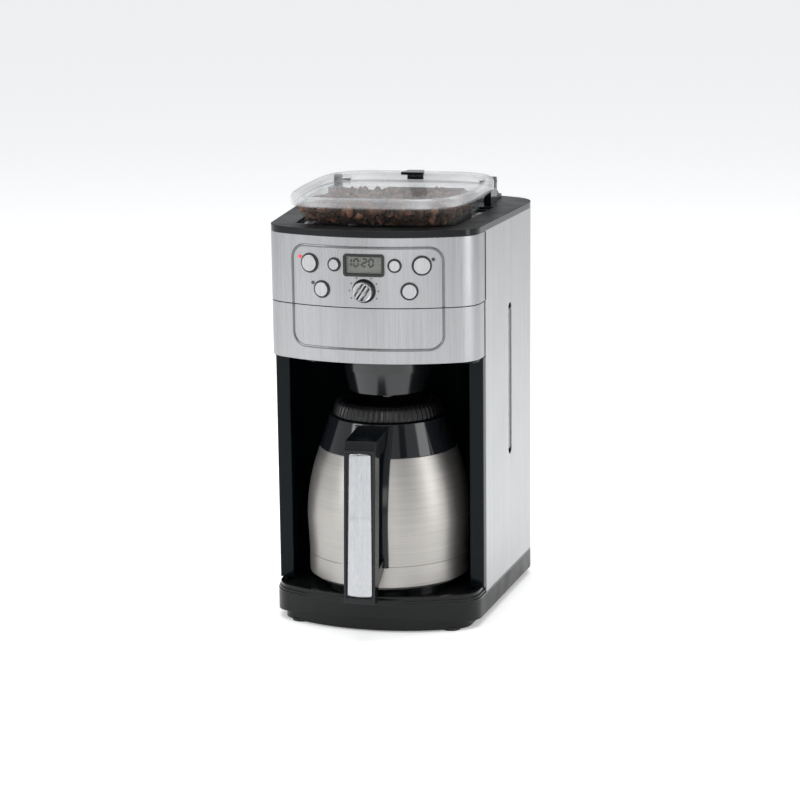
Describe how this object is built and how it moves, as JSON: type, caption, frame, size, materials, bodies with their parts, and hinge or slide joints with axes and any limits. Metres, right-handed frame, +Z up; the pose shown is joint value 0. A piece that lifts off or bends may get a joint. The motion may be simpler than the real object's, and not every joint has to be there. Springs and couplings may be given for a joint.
{
  "type": "drip coffee maker",
  "caption": "Drip coffee maker with a bean hopper and burr grinder on top, a swing-out filter door and an insulated carafe on its base.",
  "frame": {"origin": "on the floor, at the middle of the whole machine's outline seen from above, from the carafe's grip to the cord gland", "axes": "+Z up, -Y towards the front (carafe and controls), +X to the right as seen from the front"},
  "size_m": [0.2276, 0.3148, 0.4149],
  "materials": {
    "brushed_steel": "vertical brushed",
    "spun_steel": "spun satin",
    "bright_metal": "polished",
    "black_gloss": "gloss",
    "charcoal": "satin",
    "dark_grey": "satin grain",
    "black_matte": "matt",
    "clear_plastic": "clear gloss",
    "smoke_plastic": "smoked clear",
    "rubber": "matt",
    "display": "grey-green",
    "board": "solder mask",
    "red_lens": "gloss",
    "dark_lens": "gloss",
    "gold_mesh": "fine mesh",
    "aluminium": "cast",
    "silicone": "satin",
    "tan_plastic": "satin"
  },
  "bodies": {
    "housing": {"base_tray": "dark_grey", "rubber_feet": "rubber", "base_cover": "dark_grey", "base_screws": "bright_metal", "carafe_rest": "black_gloss", "tower_liner": "black_gloss", "left_side_panel": "brushed_steel", "right_side_panel": "brushed_steel", "rear_cover": "charcoal", "rear_screws": "bright_metal", "cord_gland": "rubber", "head_chassis": "black_matte", "door_hinge_pin": "bright_metal", "control_panel": "brushed_steel", "button_rings": "black_gloss", "power_light": "red_lens", "setting_lights": "dark_lens", "display_bezel": "black_gloss", "display_window": "smoke_plastic", "display_module": "display", "control_board": "board", "shower_head": "black_matte", "top_deck": "charcoal", "reservoir_hinge_pin": "bright_metal", "reservoir_tank": "smoke_plastic", "water_gauge": "clear_plastic", "heater": "aluminium", "check_valve": "tan_plastic", "water_tubes": "silicone", "grinder_housing": "black_matte", "grinder_motor": "aluminium", "upper_burr": "bright_metal", "hopper": "clear_plastic", "hopper_posts": "black_gloss", "hopper_hinge_pins": "bright_metal"},
    "brew_door": {"filter_door": "brushed_steel", "door_inner": "black_gloss", "filter_holder": "black_gloss", "filter_basket": "black_matte", "mesh_filter": "gold_mesh", "drip_stop_spring": "bright_metal"},
    "drip_valve": {"drip_stop_valve": "silicone"},
    "carafe": {"carafe_cup": "spun_steel", "carafe_body": "spun_steel", "carafe_liner": "spun_steel", "carafe_collar": "black_gloss", "carafe_handle": "black_gloss", "handle_inlay": "brushed_steel"},
    "carafe_cap": {"carafe_lid": "black_matte"},
    "bean_lid": {"hopper_lid": "clear_plastic", "hopper_lid_tab": "black_gloss"},
    "water_lid": {"reservoir_lid": "charcoal"},
    "burr_shaft": {"lower_burr": "bright_metal"},
    "knob": {"grind_knob": "brushed_steel"},
    "on_off_key": {"on_off_button": "brushed_steel"},
    "hour_key": {"hour_button": "brushed_steel"},
    "minute_key": {"minute_button": "brushed_steel"},
    "program_key": {"program_button": "brushed_steel"},
    "grind_off_key": {"grind_off_button": "brushed_steel"},
    "strength_key": {"strength_button": "brushed_steel"}
  },
  "joints": [
    {"name": "brew_door_swing", "type": "hinge", "parent": "housing", "child": "brew_door", "pos_m": [-0.08802, -0.08347, 0.2861], "axis": [0, 0, -1], "range_deg": [0, 100]},
    {"name": "drip_valve_lift", "type": "slide", "parent": "brew_door", "child": "drip_valve", "axis": [0, 0, 1], "range_m": [0, 0.004], "stiffness_N_per_m": 250, "springref_m": -0.004, "deforming": ["drip_stop_spring"]},
    {"name": "carafe_pull", "type": "slide", "parent": "housing", "child": "carafe", "axis": [0, -1, 0], "range_m": [0, 0.26]},
    {"name": "carafe_lid_turn", "type": "hinge", "parent": "carafe", "child": "carafe_cap", "pos_m": [0, -0.03748, 0.205], "axis": [0, 0, 1], "range_deg": [0, 60]},
    {"name": "bean_lid_hinge", "type": "hinge", "parent": "housing", "child": "bean_lid", "pos_m": [0, 0.08553, 0.4059], "axis": [-1, 0, 0], "range_deg": [0, 100]},
    {"name": "water_lid_hinge", "type": "hinge", "parent": "housing", "child": "water_lid", "pos_m": [0, 0.14303, 0.3878], "axis": [-1, 0, 0], "range_deg": [0, 95]},
    {"name": "burr_spin", "type": "hinge", "parent": "housing", "child": "burr_shaft", "pos_m": [0, 0.04453, 0.3254], "axis": [0, 0, 1], "continuous": true},
    {"name": "grind_knob_turn", "type": "hinge", "parent": "housing", "child": "knob", "pos_m": [0, -0.12348, 0.3286], "axis": [0, 1, 0], "range_deg": [-30, 150]},
    {"name": "on_off_press", "type": "slide", "parent": "housing", "child": "on_off_key", "axis": [0.294, 0.9558, 0], "range_m": [0, 0.0012], "stiffness_N_per_m": 400},
    {"name": "hour_press", "type": "slide", "parent": "housing", "child": "hour_key", "axis": [0.1566, 0.9877, 0], "range_m": [0, 0.0012], "stiffness_N_per_m": 400},
    {"name": "minute_press", "type": "slide", "parent": "housing", "child": "minute_key", "axis": [-0.1582, 0.9874, 0], "range_m": [0, 0.0012], "stiffness_N_per_m": 400},
    {"name": "program_press", "type": "slide", "parent": "housing", "child": "program_key", "axis": [-0.2923, 0.9563, 0], "range_m": [0, 0.0012], "stiffness_N_per_m": 400},
    {"name": "grind_off_press", "type": "slide", "parent": "housing", "child": "grind_off_key", "axis": [0.2269, 0.9739, 0], "range_m": [0, 0.0012], "stiffness_N_per_m": 400},
    {"name": "strength_press", "type": "slide", "parent": "housing", "child": "strength_key", "axis": [-0.2308, 0.973, 0], "range_m": [0, 0.0012], "stiffness_N_per_m": 400}
  ]
}
